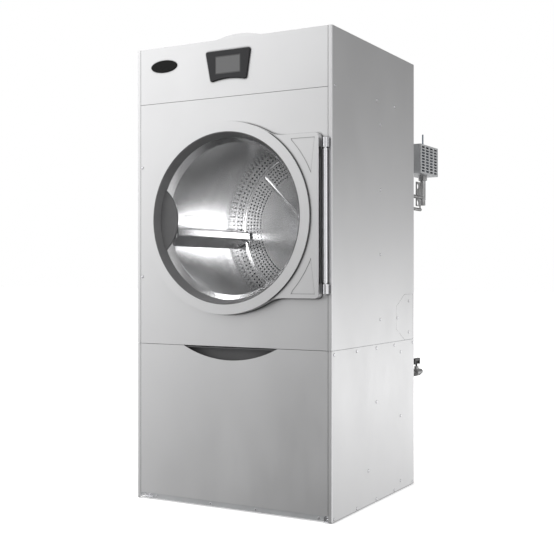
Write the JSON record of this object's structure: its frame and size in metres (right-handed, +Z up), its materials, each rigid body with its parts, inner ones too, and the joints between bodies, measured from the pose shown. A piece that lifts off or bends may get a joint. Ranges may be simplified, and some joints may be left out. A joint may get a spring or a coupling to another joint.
{
  "type": "tumble dryer",
  "caption": "Free-standing steam-heated tumble dryer with a round hinged glass door, touch display, perforated drum, belt drive, lint drawer and rear exhaust.",
  "frame": {"origin": "on the floor, at the middle of the overall width and of the overall depth", "axes": "+Z up, +X to the right seen from the front, +Y from the front to the back"},
  "size_m": [0.804, 1.038, 1.68],
  "materials": {
    "cabinet_steel": "satin silver-grey coated sheet",
    "galvanised": "plain galvanised sheet",
    "stainless": "bright stainless",
    "zinc": "bright zinc",
    "charcoal_plastic": "fine-textured charcoal",
    "screen": "unlit touch screen",
    "badge": "plain black oval",
    "glass": "clear toughened",
    "seal": "soft foam rubber",
    "felt": "wool felt",
    "belt": "ribbed belt",
    "cast": "painted casting",
    "steel": "machined steel",
    "motor_paint": "motor paint",
    "coil": "finned",
    "pipe": "weathered pipe",
    "black_plastic": "black"
  },
  "bodies": {
    "cabinet": {"side_panel_upper_left": "cabinet_steel", "side_panel_upper_right": "cabinet_steel", "side_panel_lower_left": "cabinet_steel", "side_panel_lower_right": "cabinet_steel", "side_access_cover": "cabinet_steel", "front_panel": "cabinet_steel", "control_panel": "cabinet_steel", "top_cover": "cabinet_steel", "top_hood": "cabinet_steel", "rear_panel_upper": "cabinet_steel", "rear_panel_lower": "cabinet_steel", "cabinet_frame": "galvanised", "kick_strip": "galvanised", "drum_housing": "galvanised", "rear_bulkhead": "galvanised", "heater_plenum": "galvanised", "drawer_rails_outer": "galvanised", "control_box": "galvanised", "fan_housing": "galvanised", "valve_guard": "galvanised", "idler_bracket": "galvanised", "panel_screws": "zinc", "levelling_feet": "zinc", "hinge_post": "zinc", "display_housing": "charcoal_plastic", "display_screen": "screen", "badge_plate": "badge", "drum_felt_seal": "felt", "motor_belt": "belt", "drum_belt": "belt", "bearing_housing": "cast", "drum_bearings": "steel", "drum_motor": "motor_paint", "fan_motor": "motor_paint", "valve_actuator": "motor_paint", "heater_coil": "coil", "steam_valve": "pipe", "condensate_valve": "pipe", "cable_gland": "black_plastic", "door_magnet": "black_plastic"},
    "door": {"door_panel": "cabinet_steel", "door_tunnel": "charcoal_plastic", "door_inner_ring": "stainless", "door_glass": "glass", "door_gasket": "seal", "hinge_leaf": "zinc"},
    "drum": {"drum_shell": "stainless", "drum_rear_wall": "stainless", "drum_lifters": "stainless", "drum_spider": "steel", "drum_pulley": "cast"},
    "idler": {"idler_pulley": "cast"},
    "motor_rotor": {"motor_pulley": "cast"},
    "fan_wheel": {"fan_impeller": "coil"},
    "drawer": {"drawer_front": "cabinet_steel", "drawer_grip": "charcoal_plastic", "drawer_tray": "galvanised", "lint_screen": "stainless", "drawer_rails_inner": "galvanised"},
    "drain_handle": {"condensate_handle": "black_plastic"}
  },
  "joints": [
    {"name": "door_hinge", "type": "hinge", "parent": "cabinet", "child": "door", "pos_m": [0.384, -0.497, 1.02], "axis": [0, 0, 1], "range_deg": [0, 175]},
    {"name": "drum_spin", "type": "hinge", "parent": "cabinet", "child": "drum", "pos_m": [0, -0.151, 1.02], "axis": [0, 1, 0], "continuous": true},
    {"name": "idler_spin", "type": "hinge", "parent": "cabinet", "child": "idler", "pos_m": [-0.1, 0.209, 0.715], "axis": [0, 1, 0], "continuous": true},
    {"name": "motor_spin", "type": "hinge", "parent": "cabinet", "child": "motor_rotor", "pos_m": [-0.3, 0.199, 0.655], "axis": [0, 1, 0], "continuous": true},
    {"name": "fan_spin", "type": "hinge", "parent": "cabinet", "child": "fan_wheel", "pos_m": [-0.06, 0.064, 0.26], "axis": [1, 0, 0], "continuous": true},
    {"name": "drawer_slide", "type": "slide", "parent": "cabinet", "child": "drawer", "axis": [0, -1, 0], "range_m": [0, 0.4]},
    {"name": "drain_handle_turn", "type": "hinge", "parent": "cabinet", "child": "drain_handle", "pos_m": [0.356, 0.387, 0.46], "axis": [0, 0, 1], "range_deg": [0, 90]}
  ],
  "couplings": [
    {"joint": "idler_spin", "follows": "drum_spin", "ratio": 6},
    {"joint": "motor_spin", "follows": "drum_spin", "ratio": 30}
  ]
}
